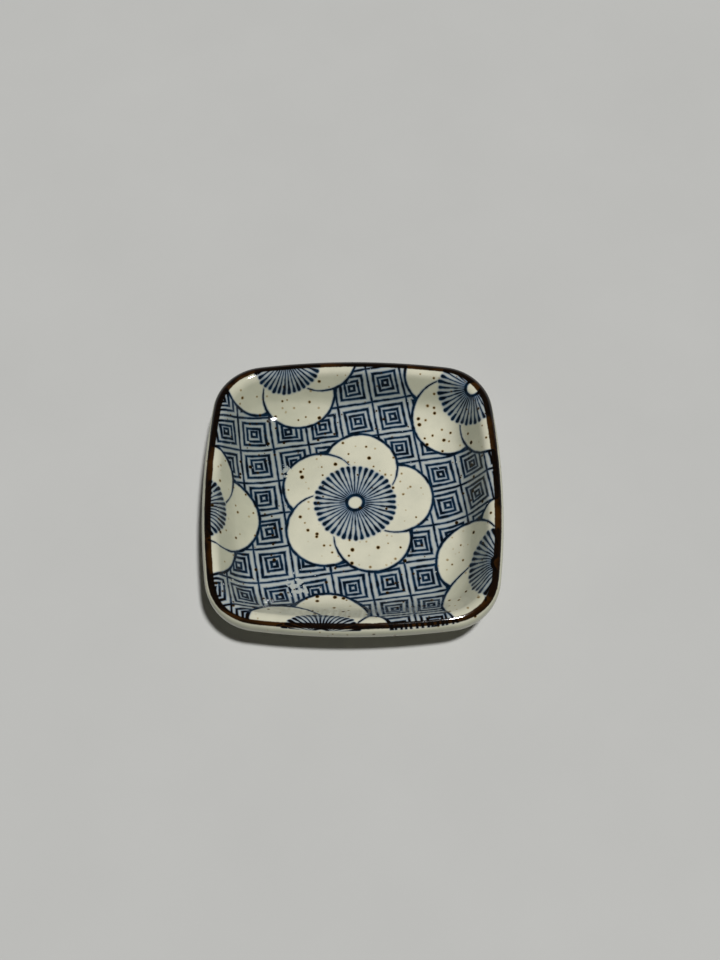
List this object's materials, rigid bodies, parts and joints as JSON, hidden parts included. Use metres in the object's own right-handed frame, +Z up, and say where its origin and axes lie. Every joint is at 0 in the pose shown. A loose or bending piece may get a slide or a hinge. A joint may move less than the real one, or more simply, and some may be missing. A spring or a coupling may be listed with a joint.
{
  "type": "soy sauce dish",
  "caption": "Small square ceramic sauce dish with rounded corners, sloping walls, a brown-banded rolled lip, a blue plum-blossom print inside and a low foot.",
  "frame": {"origin": "centre of the foot's sole, on the surface the dish stands on", "axes": "+Z up through the well, +X and +Y square to two sides of the dish, with -Y the side nearest the viewer"},
  "size_m": [0.095, 0.095, 0.02],
  "materials": {
    "biscuit_clay": "unglazed biscuit, hidden under the glaze",
    "bare_foot": "bare matte clay on the sole, glazed sides",
    "printed_glaze": "glossy clear glaze over a cobalt-blue print on off-white, with iron speckles",
    "plain_glaze": "glossy off-white glaze",
    "iron_band": "glossy iron-brown, darker where it is thick"
  },
  "bodies": {
    "root": {"clay_body": "biscuit_clay", "foot_ring": "bare_foot", "inside_glaze": "printed_glaze", "outside_glaze": "plain_glaze", "base_glaze": "plain_glaze", "rim_band": "iron_band"}
  },
  "joints": []
}
